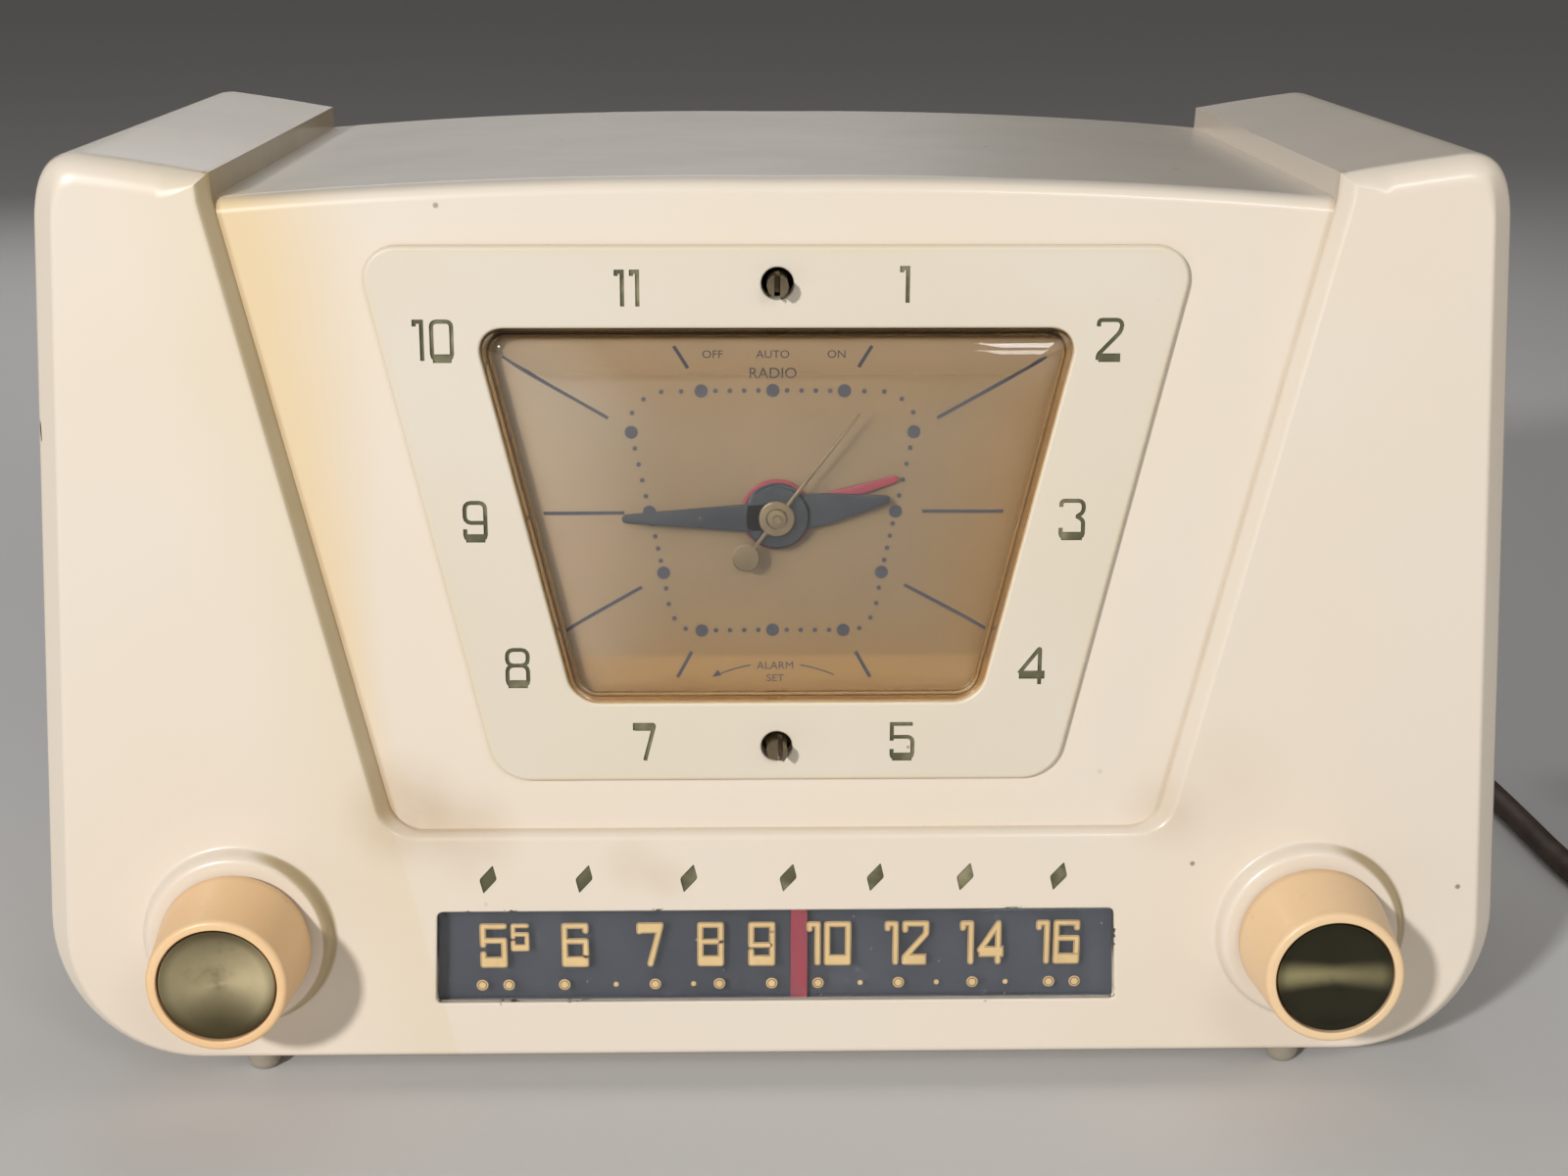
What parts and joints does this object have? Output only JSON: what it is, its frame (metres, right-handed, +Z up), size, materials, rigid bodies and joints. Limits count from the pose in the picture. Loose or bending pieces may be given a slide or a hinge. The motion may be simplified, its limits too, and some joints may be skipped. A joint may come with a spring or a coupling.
{
  "type": "alarm clock radio",
  "caption": "Table alarm clock radio: flared moulded cabinet, keystone clock face, slide-rule tuning scale between two knobs, valve chassis, pierced back and mains lead.",
  "frame": {"origin": "on the table under the middle of the object, measured without the mains lead", "axes": "+X to the right seen from the front, +Y towards the back, +Z up; the clock and knobs face -Y"},
  "size_m": [0.4725, 0.2815, 0.2039],
  "materials": {
    "cream": "aged cream polystyrene, glossy, scratched",
    "cream_satin": "aged cream polystyrene, satin",
    "clear": "clear yellowed styrene",
    "dial_tan": "tan bronze lacquer",
    "hand_slate": "worn slate paint",
    "scale_slate": "slate paint",
    "signal_red": "matt red paint",
    "brass": "satin brass",
    "black_plastic": "matt moulded",
    "brown_plastic": "moulded brown",
    "brown_rubber": "satin vinyl",
    "zinc": "zinc plated",
    "steel": "plain steel",
    "chassis_steel": "cadmium grey",
    "can_aluminium": "plain aluminium",
    "copper": "enamelled copper winding",
    "knob_peach": "peach moulded, glossy",
    "valve_glass": "clear valve glass",
    "cone_paper": "black felted paper",
    "hardboard": "pressed brown hardboard",
    "cord_fabric": "braided dial cord"
  },
  "bodies": {
    "root": {"cabinet": "cream", "clock_bezel": "cream_satin", "crystal": "clear", "clock_dial": "dial_tan", "radio_switch": "brown_plastic", "movement_front_plate": "brass", "movement_back_plate": "brass", "motor_core": "steel", "motor_coil": "copper", "dial_scale": "scale_slate", "dial_window": "clear", "pointer_rail": "zinc", "dial_cord": "cord_fabric", "volume_control": "zinc", "chassis": "chassis_steel", "converter_tube": "valve_glass", "if_amplifier_tube": "valve_glass", "detector_tube": "valve_glass", "output_tube": "valve_glass", "rectifier_tube": "valve_glass", "first_if_can": "can_aluminium", "second_if_can": "can_aluminium", "electrolytic_can": "can_aluminium", "output_transformer": "steel", "capacitor_frame": "zinc", "dial_lamp": "valve_glass", "speaker_basket": "chassis_steel", "speaker_cone": "cone_paper", "back_cover": "hardboard", "back_screw_1": "steel", "back_screw_2": "steel", "back_screw_3": "steel", "back_screw_4": "steel", "loop_antenna": "copper", "strain_relief": "brown_rubber", "power_cord": "brown_rubber", "cord_coil": "brown_rubber", "plug": "brown_plastic"},
    "volume": {"volume_knob": "knob_peach", "volume_insert": "brass", "volume_shaft": "zinc"},
    "tuning": {"tuning_knob": "knob_peach", "tuning_insert": "brass", "tuning_shaft": "zinc"},
    "pointer": {"dial_pointer": "signal_red"},
    "drum": {"drive_drum": "zinc", "capacitor_rotor": "can_aluminium"},
    "second": {"second_hand": "brass", "second_arbor": "steel"},
    "minute": {"minute_hand": "hand_slate", "cannon_pinion": "brass"},
    "hour": {"hour_hand": "hand_slate", "hour_wheel": "brass"},
    "setting": {"setting_wheel": "brass", "time_set_knob": "black_plastic"},
    "alarm_setter": {"alarm_set_shaft": "zinc"},
    "alarm": {"alarm_hand": "signal_red", "alarm_wheel": "brass"},
    "switch_shaft": {"radio_switch_shaft": "zinc"}
  },
  "joints": [
    {"name": "volume_turn", "type": "hinge", "parent": "root", "child": "volume", "pos_m": [-0.1165, -0.0725, 0.036], "axis": [0, 1, 0], "range_deg": [-150, 150]},
    {"name": "tuning_turn", "type": "hinge", "parent": "root", "child": "tuning", "pos_m": [0.1165, -0.0725, 0.036], "axis": [0, 1, 0], "range_deg": [-1289.2, 966.9]},
    {"name": "pointer_slide", "type": "slide", "parent": "root", "child": "pointer", "axis": [1, 0, 0], "range_m": [-0.0721, 0.0541]},
    {"name": "drum_turn", "type": "hinge", "parent": "root", "child": "drum", "pos_m": [0.078, -0.0725, 0.092], "axis": [0, 1, 0], "range_deg": [-77.5, 103.3]},
    {"name": "second_turn", "type": "hinge", "parent": "root", "child": "second", "pos_m": [0, -0.0725, 0.1282], "axis": [0, 1, 0], "continuous": true},
    {"name": "minute_turn", "type": "hinge", "parent": "root", "child": "minute", "pos_m": [0, -0.0725, 0.1282], "axis": [0, 1, 0], "continuous": true},
    {"name": "hour_turn", "type": "hinge", "parent": "root", "child": "hour", "pos_m": [0, -0.0725, 0.1282], "axis": [0, 1, 0], "continuous": true},
    {"name": "setting_turn", "type": "hinge", "parent": "root", "child": "setting", "pos_m": [-0.0192, -0.0725, 0.1282], "axis": [0, 1, 0], "continuous": true},
    {"name": "alarm_set_turn", "type": "hinge", "parent": "root", "child": "alarm_setter", "pos_m": [0, -0.0725, 0.0787], "axis": [0, 1, 0], "continuous": true},
    {"name": "alarm_turn", "type": "hinge", "parent": "root", "child": "alarm", "pos_m": [0, -0.0725, 0.1282], "axis": [0, 1, 0], "continuous": true},
    {"name": "radio_switch_turn", "type": "hinge", "parent": "root", "child": "switch_shaft", "pos_m": [0, -0.0725, 0.1779], "axis": [0, 1, 0], "range_deg": [-45, 45]}
  ],
  "couplings": [
    {"joint": "pointer_slide", "follows": "tuning_turn", "m_per_rad": 0.0032},
    {"joint": "drum_turn", "follows": "tuning_turn", "ratio": -0.08},
    {"joint": "hour_turn", "follows": "minute_turn", "ratio": 0.083333},
    {"joint": "setting_turn", "follows": "minute_turn", "ratio": -0.33333},
    {"joint": "alarm_turn", "follows": "alarm_set_turn", "ratio": -0.5}
  ]
}
